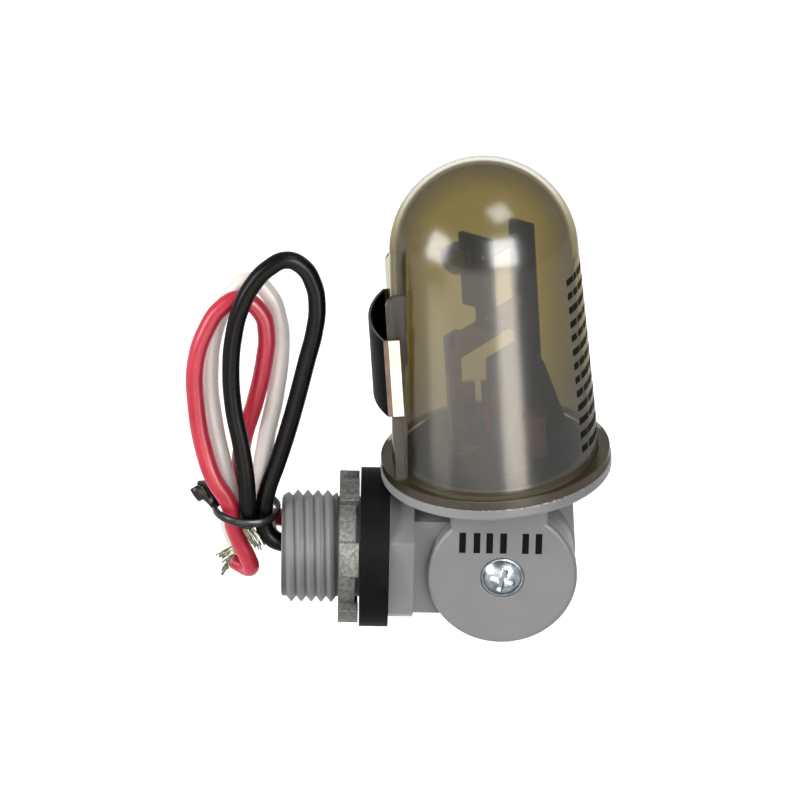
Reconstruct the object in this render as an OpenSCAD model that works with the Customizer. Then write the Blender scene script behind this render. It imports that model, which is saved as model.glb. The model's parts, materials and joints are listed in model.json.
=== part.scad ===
// Photocell switch on a swivel conduit mount.
// Origin: centre of the gasket's sealing face, on the nipple's axis.
// +X runs from the nipple to the swivel, +Y points away from the screw head, +Z is up.

/* [Conduit nipple] */
// Outside diameter of the half-inch conduit thread
thread_d = 20.4; // [19:0.1:24]
// Depth of the thread, which is left plain here
thread_depth = 1.05; // [0.6:0.05:1.3]
// Length of the nipple beyond the sealing face
nipple_len = 14.4; // [11:0.1:30]
// Plain lead-in at the nipple's mouth
nipple_lead = 1.9; // [0.8:0.1:3]
// Bore that the leads pass through
wire_bore_d = 14.2; // [13.8:0.1:15]

/* [Gasket and locknut] */
// How far the rubber gasket stands past the hexagon's corners
gasket_over = 0.15; // [0.1:0.05:0.3]
// Thickness of the rubber gasket
gasket_t = 5.2; // [3:0.1:7]
// Diameter over the locknut's lugs
nut_d = 28; // [26:0.1:34]
// Thickness of the locknut's ring
nut_t = 3; // [2:0.1:4.5]
// Height of the lugs above the ring's notches
nut_lug_h = 1.6; // [0.6:0.1:2]
// Lugs round the locknut
nut_lugs = 6; // [4:1:8]
// Teeth that stand out of the locknut's clamping side
nut_tooth = 0.6; // [0.2:0.1:1]

/* [Swivel stem] */
// Hexagon across its flats
hex_af = 25; // [22:0.1:25.2]
// Length of the hexagon
hex_len = 4.5; // [3:0.1:8]
// Gap between the hexagon and the round of the knuckle
knuckle_gap = 2.5; // [2:0.1:6]
// Height of the arm between the hexagon and the knuckle
arm_h = 18.6; // [14:0.1:20]

/* [Knuckle] */
// Radius of the knuckle's cheeks
knuckle_r = 13.6; // [13:0.1:14]
// Width of the whole knuckle along the pivot
knuckle_w = 22.6; // [21:0.1:26]
// Thickness of the front cheek
cheek_t = 3.2; // [2.6:0.1:4]
// Width of the neck above the front cheek
neck_w = 17.6; // [12:0.1:24]
// Wall of the hollow rear cheek
shell_t = 2.2; // [1.6:0.1:2.6]
// Diameter of the pivot screw
screw_d = 4; // [3:0.1:4.4]
// Lean of the head towards the nipple
head_lean = 4.6; // [0:0.1:4.8]

/* [Base flange] */
// Radius of the base flange
flange_r = 21; // [20.2:0.1:21.2]
// Thickness of the base flange
flange_t = 2; // [1.6:0.1:3]
// Room between the flange and the gasket or hexagon below it
flange_clear = 0.3; // [0.2:0.1:3]

/* [Dome] */
// How far the flange stands past the dome's wall
ledge_w = 2.2; // [1.8:0.1:2.6]
// How much the dome narrows from its lip to its round top
dome_draw = 1.9; // [1.4:0.1:2.4]
// Height from the lip to the centre of the round top
crown_h = 39.9; // [37:0.1:46]
// Wall thickness of the dome
dome_t = 1.2; // [0.8:0.1:1.5]
// Thickness of the dome's lip
lip_t = 1.8; // [1.2:0.1:2.6]

/* [Light slide] */
// Height of the slide
slide_h = 15; // [10:0.1:18]
// Height of the slide's lower edge above the lip
slide_low = 13.2; // [11:0.1:16]
// Sheet thickness of the slide
slide_t = 0.45; // [0.3:0.05:0.5]
// How far the slide's web bulges past its flanges
slide_bulge = 2.7; // [1.5:0.1:4]
// Outer width over the two rails
rail_span = 20.8; // [19:0.1:21.4]
// Height of the rails above the lip
rail_h = 36.4; // [34:0.1:37]

/* [Switch inside] */
// Turn of the switch about the dome's axis
switch_turn = 39; // [34:1:44]
// Distance between the two upright plates
plate_gap = 8.2; // [7:0.1:9]
// Thickness of the upright plates
plate_t = 1; // [0.8:0.1:1.3]
// Top of the upright plates above the lip
plate_top = 44.8; // [43:0.1:45.5]
// Diameter of the photocell
cell_d = 5.6; // [4:0.1:6]
// Height of the bimetal strip
strip_h = 5; // [4:0.1:5.4]

/* [Leads] */
// Diameter of each insulated lead
lead_d = 3.2; // [2.6:0.1:3.2]

/* [Hidden] */
$fn = 96;

GREY = [0.56, 0.56, 0.57];
SMOKE = [0.35, 0.32, 0.2, 0.55];
ZINC = [0.68, 0.68, 0.66];
STEEL = [0.75, 0.75, 0.76];
BRASS = [0.72, 0.58, 0.3];
PHENOLIC = [0.13, 0.12, 0.12];
RUBBER = [0.09, 0.09, 0.1];

// Clearances: shafts that turn, faces that rub, pieces that are only set in
turn_fit = 0.05;
face_gap = 0.2;
set_gap = 0.15;
cut = 1;

// Stem
thread_r = thread_d / 2;
shank_r = thread_r - thread_depth;
nut_gap = 0.3;
nut_back = nut_gap + nut_tooth + nut_t;
shank_end = nut_back + nut_gap;
lead_chamfer = 0.4;
gasket_fit = 0.1;
hex_d = hex_af / cos(30);
gasket_d = hex_d + 2 * gasket_over;
hex_end = gasket_t + hex_len;
hex_floor = 2;
pivot_x = hex_end + knuckle_gap + knuckle_r;

// Knuckle, in the head's frame: the pivot is its Y axis
front_y = -knuckle_w / 2;
drum_front = front_y + cheek_t + face_gap;
drum_back = -face_gap;
drum_inset = 0.3;
drum_r = knuckle_r - drum_inset;
drum_groove = 1;
drum_groove_w = 1.4;
hub_r = screw_d / 2 + 1.6;
drum_wall = 2;
drum_cave_r = drum_r - 3.5;
arm_wall = 1.8;
passage_h = arm_h - 2 * arm_wall - 2;
cheek_round = 0.8;
boss_r = screw_d / 2 + 3;
boss_len = 3.2;
window_out = drum_cave_r - 0.2;
window_in = boss_r + 0.6;
window_low = 2.2;

// Pivot screw and nut
screw_r = screw_d / 2;
head_r = 1.9 * screw_r;
head_h = 0.55 * screw_d;
head_seat = 0.5;
head_rim = 0.5;
cross_w = 0.26 * screw_d;
cross_l = 1.15 * screw_d;
cross_deep = 0.34 * screw_d;
nut_af = 1.75 * screw_d;
nut_high = 0.8 * screw_d;
nut_seat = shell_t + boss_len;
screw_over = 0.3;

// Base and dome, heights in the head's frame
flange_h = (gasket_d / 2 + flange_clear + flange_r * sin(head_lean)) / cos(head_lean);
flange_round = 0.5;
lip_z = flange_h + flange_t;
lip_inset = 0.2;
lip_r = flange_r - lip_inset;
dome_r = flange_r - ledge_w;
crown_r = dome_r - dome_draw;
wall_z = lip_z + lip_t;
crown_z = wall_z + crown_h;
taper = atan(dome_r / crown_h) - asin(crown_r / norm([dome_r, crown_h]));
inner_r = dome_r - dome_t / cos(taper);
inner_crown_r = crown_r - dome_t;
spigot_r = inner_r - set_gap;
spigot_drop = 0.4;
spigot_h = lip_t - spigot_drop;
floor_z = lip_z + spigot_h;
way_w = knuckle_r * 2 - 2 * shell_t - 4;
way_front = shell_t + 0.2;
way_back = knuckle_w / 2 - shell_t - 0.2;

// Rails and slide
rail_out = dome_r - 0.8;
rail_head = 1.5;
rail_w = 1.4;
rail_under = 0.55;
rail_round = 2.2;
slide_z = wall_z + slide_low;
slide_gap = 0.25;
slide_half = rail_span / 2 + slide_gap + slide_t;
slide_face = rail_out + slide_gap;
hook_gap = 0.2;
hook_in = rail_out - rail_head - hook_gap - slide_t;
web_r = (slide_half * slide_half + slide_bulge * slide_bulge) / (2 * slide_bulge);
web_x = web_r - slide_bulge - slide_face - slide_t;

// Switch, in its own frame: X along the plates, Y across them, turned about the dome's axis
foot_r = inner_r - 2.2;
foot_t = 2.6;
foot_top = floor_z + foot_t;
plate_head_z = wall_z + plate_top;
plate_mid = 0.15;
rear_face = plate_mid + plate_gap / 2;
cell_face = plate_mid - plate_gap / 2;
rear_a = [2.5, 7.6];
cell_a = [-1.6, 5.4];
block_share = 0.46;
block_top = wall_z + block_share * plate_top;
block_a = [2.2, 7.8];
block_rib = 2.6;
block_flare = 5.4;
block_step = 6;
block_bevel = 2;
cell_plate_share = 0.6;
cell_plate_low = wall_z + cell_plate_share * plate_top;
spacer_r = 0.9;
spacer_a = 4;
spacer_z = [plate_head_z - 3.4, cell_plate_low + 2.6];
cell_t = 2;
cell_notch = 0.8 * strip_h;
cell_off = 0.8;
cell_drop = 0.73 * cell_d;
cell_at = [-0.9, plate_head_z - cell_drop];
leg_r = 0.35;
leg_pitch = 2.4;
strip_t = 0.6;
strip_share = 0.482;
strip_z = wall_z + strip_share * plate_top;
strip_a = -0.6;
strip_gap = 0.3;
strip_root = rear_face - strip_gap;
strip_reach = 0.96 * strip_h;
strip_tip = cell_face - strip_reach;
foot_w = 1;
arm_foot_len = rear_a[0] - strip_a - strip_t / 2 + 2.4;
contact_r = 1.3;
contact_t = 0.7;
contact_gap = 0.06;
contact_inset = 0.3;
contact_b = strip_tip + contact_r + contact_inset;
contact_z = strip_z + strip_h / 2;
bracket_t = 0.8;
bracket_w = 0.72 * strip_h;
bracket_foot = 0.8 * strip_h;
bracket_a = strip_a - strip_t / 2 - 2 * contact_t - contact_gap - bracket_t;
heater_r = 1.9;
heater_len = 8;
heater_rim = 0.35;
heater_band = 1;
heater_room = heater_r + heater_rim + set_gap;
heater_at = [block_a[1] + heater_room, rear_face - block_rib - heater_room];
block_screw_r = 1.5;
screw_core_r = block_screw_r - 0.4;
screw_head_r = block_screw_r + 1;
screw_head_h = 1.4;
block_screw_rim = 0.2;
block_screw_ring = foot_r - screw_head_r - block_screw_rim;
block_screw_turns = [225, -32.7];
block_screw_at = [for (turn = block_screw_turns) block_screw_ring * [cos(turn), sin(turn)]];
block_screw_floor = 0.8;

// Inner leads: three risers in the way through the base
lead_r = lead_d / 2;
riser_r = (window_in + window_out) / 2;
riser_turn = 42;
riser_y = way_front + lead_r + 1.7;
riser_top = foot_top + 5;
riser_in = -2.4;
bend_r = riser_y - shell_t + 0.2;
tab_t = 0.8;
tab_w = 4;
tab_h = 8;
tab_y = riser_y + lead_r + set_gap;
slot_back = riser_y + lead_r + set_gap / 2;

// Outer leads: hand-set routes from the nipple's bore to the stripped end, in millimetres
ROUTE_BLACK = [
    [7, -3.2, -4.3], [-1, -3.3, -2.6], [-8, -3.4, 0], [-13, -3.4, 1.9], [-16, -3.2, 2.9], [-17.5, -2.9, 5],
    [-17.7, -2.7, 8], [-17.2, -2.6, 12], [-15.2, -2.2, 18.5], [-13, -2, 26.5], [-10.3, -2, 38.5],
    [-9, -2, 44.5], [-8.6, -2, 49.6], [-9.4, -2, 54], [-11.4, -2, 57.2], [-14.1, -2.1, 58.4],
    [-17.2, -2.4, 57], [-20.2, -2.7, 53.6], [-22.2, -3, 49.3], [-23.4, -3, 44], [-23.9, -3, 37],
    [-23.3, -3.2, 29], [-21.9, -3.7, 22], [-20.8, -4.2, 14], [-20.6, -4.3, 8], [-20.5, -4.3, 6.3]
];
ROUTE_RED = [
    [7, 2.7, 4.5], [-3, 2.8, 4.4], [-10, 2.9, 4.1], [-13.5, 3.2, 4], [-16, 3.8, 3.9], [-18.6, 3.7, 4.2],
    [-20.3, 2.3, 6.5], [-21, 2.3, 9.6], [-22.1, 3.2, 14.6], [-21.6, 2.7, 20], [-19.4, 1.6, 29],
    [-17.9, 0.9, 37.5], [-17.6, 0.8, 42], [-18.7, 0.8, 46.6], [-22.4, 0.8, 49.2], [-25.8, 0.4, 47.5],
    [-28.4, -0.3, 43.6], [-30.3, -0.9, 37], [-30.2, -1.3, 29.5], [-28.6, -2.2, 20], [-26.6, -3, 14.4],
    [-24.6, -2.9, 11], [-23.5, -2.7, 8], [-23.2, -2.2, 5], [-22.2, -1.6, 1.8], [-20.5, -1.2, -2.2],
    [-20, -0.6, -4.1], [-20.6, 0.8, -5.2], [-21.8, 2.1, -5.2], [-22.9, 2.9, -4.9]
];
ROUTE_WHITE = [
    [7, 3.2, -4.3], [-1, 2.4, -3.2], [-8, 1.1, -1.2], [-13, 0.6, 0], [-16, 0.5, 1.3], [-17.2, 0.4, 4.3],
    [-17.6, 0.6, 8], [-18.3, 0.6, 12.5], [-17.5, 2, 20.5], [-15.9, 3.1, 29], [-15, 4, 39.5], [-15.5, 4.1, 44],
    [-17.3, 4.2, 48.7], [-20.7, 4.2, 51.3], [-24, 4, 48.6], [-26.6, 3.4, 43], [-27.8, 2.5, 34],
    [-26.9, 1.7, 24.3], [-24.9, 0.3, 15], [-24, 0.4, 11], [-23.5, 0.7, 8], [-24.1, 1.2, 4.8],
    [-23.6, 1.8, 1.6], [-22.9, 1.9, -0.3]
];
// Far ends of the bare strands, and their radius
STRAND_ENDS = [[-18.8, -4.4, 2.2], [-24.6, 3.9, -7.2], [-25, 1.2, -3.4]];
strand_r = 0.9;
lead_sides = 8;

// Wire tie: a ring round the six strands, and its twisted tail
tie_at = [-20.85, -1, 8];
tie_pitch_r = 3.6;
tie_w = 2.2;
tie_t = 1;
tail_r = 1.3;
TAIL = [[-26.5, 0.2, 8], [-27.2, 0.8, 9.6], [-28.6, 1, 11.6], [-30, 1, 10.8]];

// Places a piece of the head: the pivot is the origin there
module on_head() {
    translate([pivot_x, 0, 0]) rotate([0, -head_lean, 0]) children();
}

// Places a piece of the switch inside the dome
module on_switch() {
    on_head() rotate([0, 0, -switch_turn]) children();
}

// A cylinder along +X
module along_x(from, to, r) {
    translate([from, 0, 0]) rotate([0, 90, 0]) cylinder(r = r, h = to - from);
}

// A cylinder along +Y
module along_y(from, to, r) {
    translate([0, from, 0]) rotate([-90, 0, 0]) cylinder(r = r, h = to - from);
}

// A block between two corners
module block(low, high) {
    translate(low) cube(high - low);
}

// A disc about the pivot, with a rounded rim on its outer side
module cheek(inner, outer, r) {
    flip = outer < inner ? 1 : -1;
    thick = abs(outer - inner);
    translate([0, inner, 0]) rotate([90 * flip, 0, 0]) rotate_extrude() {
        square([r - cheek_round, thick]);
        square([r, thick - cheek_round]);
        translate([r - cheek_round, thick - cheek_round]) circle(r = cheek_round);
    }
}

// The nipple, hexagon, arm and drum are one moulding
module swivel_stem() {
    color(GREY) difference() {
        union() {
            along_x(-nipple_len + nipple_lead, -shank_end, thread_r);
            translate([-nipple_len, 0, 0]) rotate([0, 90, 0]) cylinder(
                r1 = shank_r - lead_chamfer, r2 = shank_r, h = lead_chamfer);
            along_x(-nipple_len + lead_chamfer, gasket_t + cut, shank_r);
            translate([gasket_t, 0, 0]) rotate([0, 90, 0]) cylinder(d = hex_d, h = hex_len, $fn = 6);
            block([hex_end - cut, drum_front, -arm_h / 2], [pivot_x, drum_back, arm_h / 2]);
            translate([pivot_x, 0, 0]) drum();
        }
        along_x(-nipple_len - cut, hex_end - hex_floor, wire_bore_d / 2);
        block([hex_end - hex_floor - cut, drum_front + drum_wall, -passage_h / 2],
            [pivot_x - hub_r - 2, drum_back - arm_wall, passage_h / 2]);
        translate([pivot_x, 0, 0]) drum_cave();
        translate([pivot_x, 0, 0]) along_y(front_y, cut, screw_r + turn_fit);
    }
}

// The stem's round end, with a shallow groove behind the front cheek
module drum() {
    along_y(drum_front, drum_back, drum_r - drum_groove);
    along_y(drum_front + drum_groove_w, drum_back, drum_r);
}

// The ring-shaped hollow that the leads turn through
module drum_cave() {
    difference() {
        along_y(drum_front + drum_wall, drum_back + cut, drum_cave_r);
        along_y(drum_front, drum_back + 2 * cut, hub_r);
    }
}

module sealing_gasket() {
    color(RUBBER) difference() {
        along_x(0, gasket_t, gasket_d / 2);
        along_x(-cut, gasket_t + cut, shank_r + gasket_fit);
    }
}

// A cast ring with raised lugs, each with a tooth towards the gasket
module locknut() {
    lug_angle = 156 / nut_lugs;
    lug_turn = 17;
    lug_sink = 0.4;
    ring_r = nut_d / 2 - nut_lug_h;
    color(ZINC) difference() {
        union() {
            along_x(-nut_back, -nut_gap - nut_tooth, ring_r);
            for (i = [0 : nut_lugs - 1])
                rotate([360 / nut_lugs * i - lug_turn, 0, 0]) rotate([0, -90, 0]) translate([0, 0, nut_gap])
                    ring_sector(lug_angle, ring_r - lug_sink, nut_d / 2, nut_t + nut_tooth);
        }
        along_x(-nut_back - cut, cut, shank_r + turn_fit);
    }
}

// Part of a ring about +Z, centred on +Y
module ring_sector(angle, in_r, out_r, h) {
    half = angle / 2;
    far = out_r * 1.3;
    intersection() {
        difference() {
            cylinder(r = out_r, h = h);
            translate([0, 0, -cut]) cylinder(r = in_r, h = h + 2 * cut);
        }
        linear_extrude(h) polygon([[0, 0], far * [sin(half), cos(half)], far * [-sin(half), cos(half)]]);
    }
}

// Flange, front cheek with its neck and hollow rear cheek are one moulding
module base() {
    color(GREY) on_head() difference() {
        union() {
            flange();
            cheek(front_y + cheek_t, front_y, knuckle_r);
            neck();
            cheek(0, knuckle_w / 2, knuckle_r);
            rear_wall(knuckle_r, 0, knuckle_w / 2, cheek_round, 0, flange_h + cut / 2);
        }
        difference() {
            union() {
                along_y(shell_t, knuckle_w / 2 - shell_t, knuckle_r - shell_t);
                rear_wall(knuckle_r - shell_t, shell_t, knuckle_w / 2 - shell_t, cheek_round, 0,
                    flange_h - shell_t);
            }
            along_y(0, nut_seat, boss_r);
        }
        block([-way_w / 2, way_front, flange_h / 2], [way_w / 2, way_back, floor_z + cut]);
        lead_window();
        along_y(front_y - cut, nut_seat + cut, screw_r + turn_fit);
        along_y(front_y - cut, front_y + head_seat, head_r + face_gap);
        for (at = block_screw_at)
            rotate([0, 0, -switch_turn]) translate([at[0], at[1], flange_h + block_screw_floor]) cylinder(
                r = screw_core_r + turn_fit, h = floor_z - flange_h);
    }
}

// The round flange, with a low spigot that centres the dome
module flange() {
    translate([0, 0, flange_h]) rotate_extrude() {
        translate([0, flange_round]) square([flange_r, flange_t - flange_round]);
        square([flange_r - flange_round, flange_t]);
        translate([flange_r - flange_round, flange_round]) circle(r = flange_round);
    }
    translate([0, 0, lip_z - cut]) cylinder(r = spigot_r, h = spigot_h + cut);
}

// The neck carries the front cheek, and joins the rear cheek above the drum
module neck() {
    linear_extrude(flange_h + cut / 2) {
        translate([-neck_w / 2, front_y + cheek_round]) square([neck_w, cheek_t - cheek_round]);
        translate([-neck_w / 2 + cheek_round, front_y]) square([neck_w - 2 * cheek_round, cheek_t]);
        for (side = [-1, 1])
            translate([side * (neck_w / 2 - cheek_round), front_y + cheek_round]) circle(r = cheek_round);
    }
    block([-neck_w / 2, front_y + cheek_t / 2, drum_r + 2 * face_gap], [neck_w / 2, cut, flange_h + cut / 2]);
}

// An upright slab with rounded outer corners
module rear_wall(half, from, to, round, low, high) {
    translate([0, 0, low]) linear_extrude(high - low) {
        translate([-half, from]) square([2 * half, to - from - round]);
        translate([-half + round, from]) square([2 * (half - round), to - from]);
        for (side = [-1, 1]) translate([side * (half - round), to - round]) circle(r = round);
    }
}

// The window that the leads pass through on their way up
module lead_window() {
    intersection() {
        difference() {
            along_y(-cut, shell_t + cut, window_out);
            along_y(-2 * cut, shell_t + 2 * cut, window_in);
        }
        block([-knuckle_r, -2 * cut, window_low], [knuckle_r, shell_t + 2 * cut, knuckle_r]);
    }
}

// A smoky cap: lip, tapered wall, round top, and two rails for the light slide
module dome() {
    color(SMOKE) on_head() difference() {
        union() {
            translate([0, 0, lip_z]) cylinder(r = lip_r, h = lip_t);
            dome_body(dome_r, crown_r, wall_z, 0);
            for (side = [-1, 1]) rail(side);
        }
        translate([0, 0, lip_z - cut]) cylinder(r = inner_r, h = lip_t + cut);
        dome_body(inner_r, inner_crown_r, wall_z, 0.01);
    }
}

// A cone that runs smoothly into a ball
module dome_body(low_r, top_r, low_z, drop) {
    rise = crown_z + top_r * sin(taper) - low_z;
    translate([0, 0, low_z - drop]) cylinder(r1 = low_r, r2 = top_r * cos(taper), h = rise + drop);
    translate([0, 0, crown_z]) sphere(r = top_r);
}

// One upright rail: a thick head over a thinner root, with a rounded top
module rail(side) {
    y_out = rail_span / 2;
    head = [-rail_out, -rail_out + rail_head];
    translate([0, side * y_out, wall_z - 0.2]) rotate([90, 0, 0]) mirror([0, 0, side < 0 ? 1 : 0])
        linear_extrude(rail_w) rail_side(head[0], head[1]);
    translate([0, side * (y_out - rail_under), wall_z - 0.2]) rotate([90, 0, 0])
        mirror([0, 0, side < 0 ? 1 : 0]) linear_extrude(rail_w - rail_under)
        rail_side(head[0], -rail_out / 2);
}

// Side view of a rail
module rail_side(from, to) {
    translate([from, 0]) square([to - from, rail_h - rail_round]);
    intersection() {
        translate([from, 0]) square([to - from, rail_h]);
        union() {
            translate([from + rail_round, rail_h - rail_round]) circle(r = rail_round);
            translate([from + rail_round, 0]) square([rail_out, rail_h]);
        }
    }
}

// Sheet steel folded round both rails, with a bowed web
module light_slide() {
    color(STEEL) on_head() translate([0, 0, slide_z]) linear_extrude(slide_h) {
        intersection() {
            difference() {
                translate([web_x, 0]) circle(r = web_r);
                translate([web_x, 0]) circle(r = web_r - slide_t);
            }
            translate([-slide_face - slide_t - slide_bulge - cut, -slide_half])
                square([slide_bulge + cut + slide_t, 2 * slide_half]);
        }
        for (side = [0, 1]) mirror([0, side]) {
            translate([-slide_face - slide_t, slide_half - slide_t])
                square([slide_face + slide_t - hook_in, slide_t]);
            translate([-hook_in - slide_t, slide_half - slide_t - slide_gap - rail_under + hook_gap])
                square([slide_t, slide_t + slide_gap + rail_under - hook_gap]);
        }
    }
}

module pivot_screw() {
    top = front_y + head_seat;
    color(STEEL) on_head() difference() {
        union() {
            along_y(top - head_rim, top, head_r);
            intersection() {
                along_y(top - head_h, top, head_r);
                translate([0, top + head_r * 1.2 - head_h, 0]) sphere(r = head_r * 1.2);
            }
            along_y(top - head_rim / 2, nut_seat + nut_high + screw_over, screw_r);
        }
        for (turn = [20, 110])
            rotate([0, turn, 0])
                block([-cross_l / 2, top - head_h - cut, -cross_w / 2],
                    [cross_l / 2, top - head_h + cross_deep, cross_w / 2]);
    }
}

module pivot_nut() {
    color(STEEL) on_head() difference() {
        translate([0, nut_seat, 0]) rotate([-90, 0, 0]) cylinder(d = nut_af / cos(30), h = nut_high, $fn = 6);
        along_y(0, nut_seat + nut_high + cut, screw_r + turn_fit);
    }
}

// Moulded foot and pedestal of the switch
module terminal_block() {
    color(PHENOLIC) difference() {
        union() {
            on_head() translate([0, 0, floor_z]) cylinder(r = foot_r, h = foot_t);
            on_switch() translate([0, rear_face, 0]) rotate([90, 0, 0]) {
                linear_extrude(plate_gap) pedestal_side();
                linear_extrude(block_rib) rib_side();
            }
        }
        on_head() block([-way_w / 2, way_front, floor_z - cut], [way_w / 2, slot_back, foot_top + cut]);
        on_switch() for (at = block_screw_at)
            translate([at[0], at[1], floor_z - cut])
                cylinder(r = screw_core_r + set_gap, h = foot_t + 2 * cut);
    }
}

// Side view of the pedestal, with a sloped corner at its top
module pedestal_side() {
    low = foot_top - foot_t / 2;
    polygon([[block_a[0], low], [block_a[1], low], [block_a[1], block_top - block_bevel],
        [block_a[1] - block_bevel / 2, block_top], [block_a[0], block_top]]);
}

// Side view of the rib that braces the pedestal
module rib_side() {
    low = foot_top - foot_t / 2;
    out = block_a[1] + block_flare;
    polygon([[block_a[1] - cut, low], [out, low], [out, foot_top + block_step],
        [block_a[1] + block_bevel / 2, block_top - block_bevel],
        [block_a[1] - cut, block_top - block_bevel]]);
}

module rear_plate() {
    color(PHENOLIC) on_switch() difference() {
        block([rear_a[0], rear_face, foot_top], [rear_a[1], rear_face + plate_t, plate_head_z]);
        for (z = spacer_z) translate([spacer_a, 0, z])
            along_y(0, rear_face + plate_t + cut, spacer_r / 2 + turn_fit);
    }
}

// The plate that carries the photocell, with a notch over the bimetal strip
module cell_plate() {
    color(PHENOLIC) on_switch() difference() {
        block([cell_a[0], cell_face - plate_t, cell_plate_low], [cell_a[1], cell_face, plate_head_z]);
        for (z = spacer_z) translate([spacer_a, 0, z])
            along_y(cell_face - plate_t - cut, 0, spacer_r / 2 + turn_fit);
        block([cell_a[0] - cut, cell_face - plate_t - cut, cell_plate_low - cut],
            [spacer_a - 3 * spacer_r, cell_face + cut, cell_plate_low + cell_notch]);
    }
}

// Two shouldered pins hold the plates apart
module plate_spacers() {
    color(BRASS) on_switch() for (z = spacer_z) translate([spacer_a, 0, z]) {
        along_y(cell_face, rear_face, spacer_r);
        along_y(cell_face - plate_t - 0.3, rear_face + plate_t + 0.3, spacer_r / 2);
    }
}

module photocell() {
    back = cell_face - plate_t - cell_off;
    color([0.16, 0.17, 0.13]) on_switch() translate([cell_at[0], 0, cell_at[1]]) {
        along_y(back - cell_t, back, cell_d / 2);
        along_y(back - cell_t - 0.3, back - cell_t + 0.1, cell_d / 2 - 0.5);
    }
}

// The photocell's two wire legs, through the plate
module cell_legs() {
    back = cell_face - plate_t - cell_off;
    color(STEEL) on_switch() for (side = [-1, 1])
        translate([cell_at[0] + leg_pitch / 2, 0, cell_at[1] + side * leg_pitch / 2])
            along_y(back, cell_face - plate_t, leg_r);
}

// Wound heater resistor that warms the bimetal strip
module heater() {
    color([0.45, 0.3, 0.2]) on_switch() translate([heater_at[0], heater_at[1], foot_top]) {
        cylinder(r = heater_r, h = heater_len);
        for (z = [0, heater_len - heater_band])
            translate([0, 0, z]) cylinder(r = heater_r + heater_rim, h = heater_band);
    }
}

module bimetal_arm() {
    color([0.55, 0.47, 0.36]) on_switch()
        block([strip_a - strip_t / 2, strip_tip, strip_z],
            [strip_a + strip_t / 2, strip_root, strip_z + strip_h]);
}

// Brass angle on the rear plate that the strip springs from
module arm_foot() {
    color(BRASS) on_switch() {
        block([strip_a - strip_t / 2, strip_root + 0.05, strip_z + 0.6],
            [strip_a + strip_t / 2 + 0.6, rear_face + plate_t, strip_z + strip_h - 0.6]);
        block([strip_a - strip_t / 2, rear_face + plate_t, strip_z + 0.6],
            [strip_a - strip_t / 2 + arm_foot_len, rear_face + plate_t + foot_w, strip_z + strip_h - 0.6]);
    }
}

// A contact button that faces along the plates
module contact(from, to) {
    translate([0, contact_b, contact_z]) along_x(from, to, contact_r);
}

module moving_contact() {
    color(STEEL) on_switch() contact(strip_a - strip_t / 2 - contact_t, strip_a - strip_t / 2);
}

// Brass upright that carries the fixed contact
module contact_bracket() {
    color(BRASS) on_switch() {
        block([bracket_a, contact_b - bracket_w / 2, foot_top],
            [bracket_a + bracket_t, contact_b + bracket_w / 2, contact_z + contact_r + contact_inset]);
        block([bracket_a, contact_b - bracket_w / 2, foot_top],
            [bracket_a + bracket_foot, contact_b + bracket_w / 2, foot_top + bracket_t]);
    }
}

module fixed_contact() {
    color(STEEL) on_switch() contact(bracket_a + bracket_t, bracket_a + bracket_t + contact_t);
}

// Brass tabs that the inner leads are soldered to
module terminal_tabs() {
    color(BRASS) on_head() for (i = [-1 : 1]) {
        x = riser_r * sin(riser_turn * i);
        translate([x - tab_w / 2, tab_y, foot_top]) cube([tab_w, tab_t, tab_h]);
    }
}

// Two screws that hold the switch to the base
module block_screws() {
    color(STEEL) on_switch() for (at = block_screw_at) translate([at[0], at[1], 0]) {
        translate([0, 0, foot_top]) cylinder(r = screw_head_r, h = screw_head_h);
        translate([0, 0, flange_h + block_screw_floor + set_gap])
            cylinder(r = screw_core_r, h = foot_top - flange_h);
    }
}

// A lead inside the head: through the window, round a bend and up to its tab
module inner_lead(index) {
    x = riser_r * sin(riser_turn * index);
    z = riser_r * cos(riser_turn * index);
    on_head() translate([x, 0, 0]) {
        translate([0, 0, z]) along_y(riser_in, riser_y - bend_r, lead_r);
        translate([0, riser_y - bend_r, z + bend_r]) rotate([0, 90, 0])
            rotate_extrude(angle = 90) translate([bend_r, 0]) circle(r = lead_r);
        translate([0, riser_y, z + bend_r]) cylinder(r = lead_r, h = riser_top - z - bend_r);
    }
}

module inner_lead_black() {
    color(RUBBER) inner_lead(-1);
}

module inner_lead_red() {
    color([0.8, 0.2, 0.3]) inner_lead(0);
}

module inner_lead_white() {
    color([0.85, 0.82, 0.78]) inner_lead(1);
}

function unit(v) = v / norm(v);
function heading(path, i) = unit(path[min(i + 1, len(path) - 1)] - path[max(i - 1, 0)]);
function side_of(v) = unit(cross(v, [0, 1, 0]));
function ring(at, dir, r, sides) = let (a = side_of(dir), b = cross(a, dir))
    [for (k = [0 : sides - 1]) at + r * (cos(360 * k / sides) * a + sin(360 * k / sides) * b)];

// A round tube swept along a route
module sweep(path, r, sides) {
    last = len(path) - 1;
    points = [for (i = [0 : last]) each ring(path[i], heading(path, i), r, sides)];
    walls = [for (i = [0 : last - 1]) for (k = [0 : sides - 1])
        let (a = i * sides + k, b = i * sides + (k + 1) % sides)
        each [[a, b, b + sides], [a, b + sides, a + sides]]];
    first_end = [[for (k = [0 : sides - 1]) sides - 1 - k]];
    last_end = [[for (k = [0 : sides - 1]) last * sides + k]];
    polyhedron(points, concat(first_end, walls, last_end));
}

module lead_black() {
    color(RUBBER) sweep(ROUTE_BLACK, lead_r, lead_sides);
}

module lead_red() {
    color([0.8, 0.2, 0.3]) sweep(ROUTE_RED, lead_r, lead_sides);
}

module lead_white() {
    color([0.85, 0.82, 0.78]) sweep(ROUTE_WHITE, lead_r, lead_sides);
}

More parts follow.
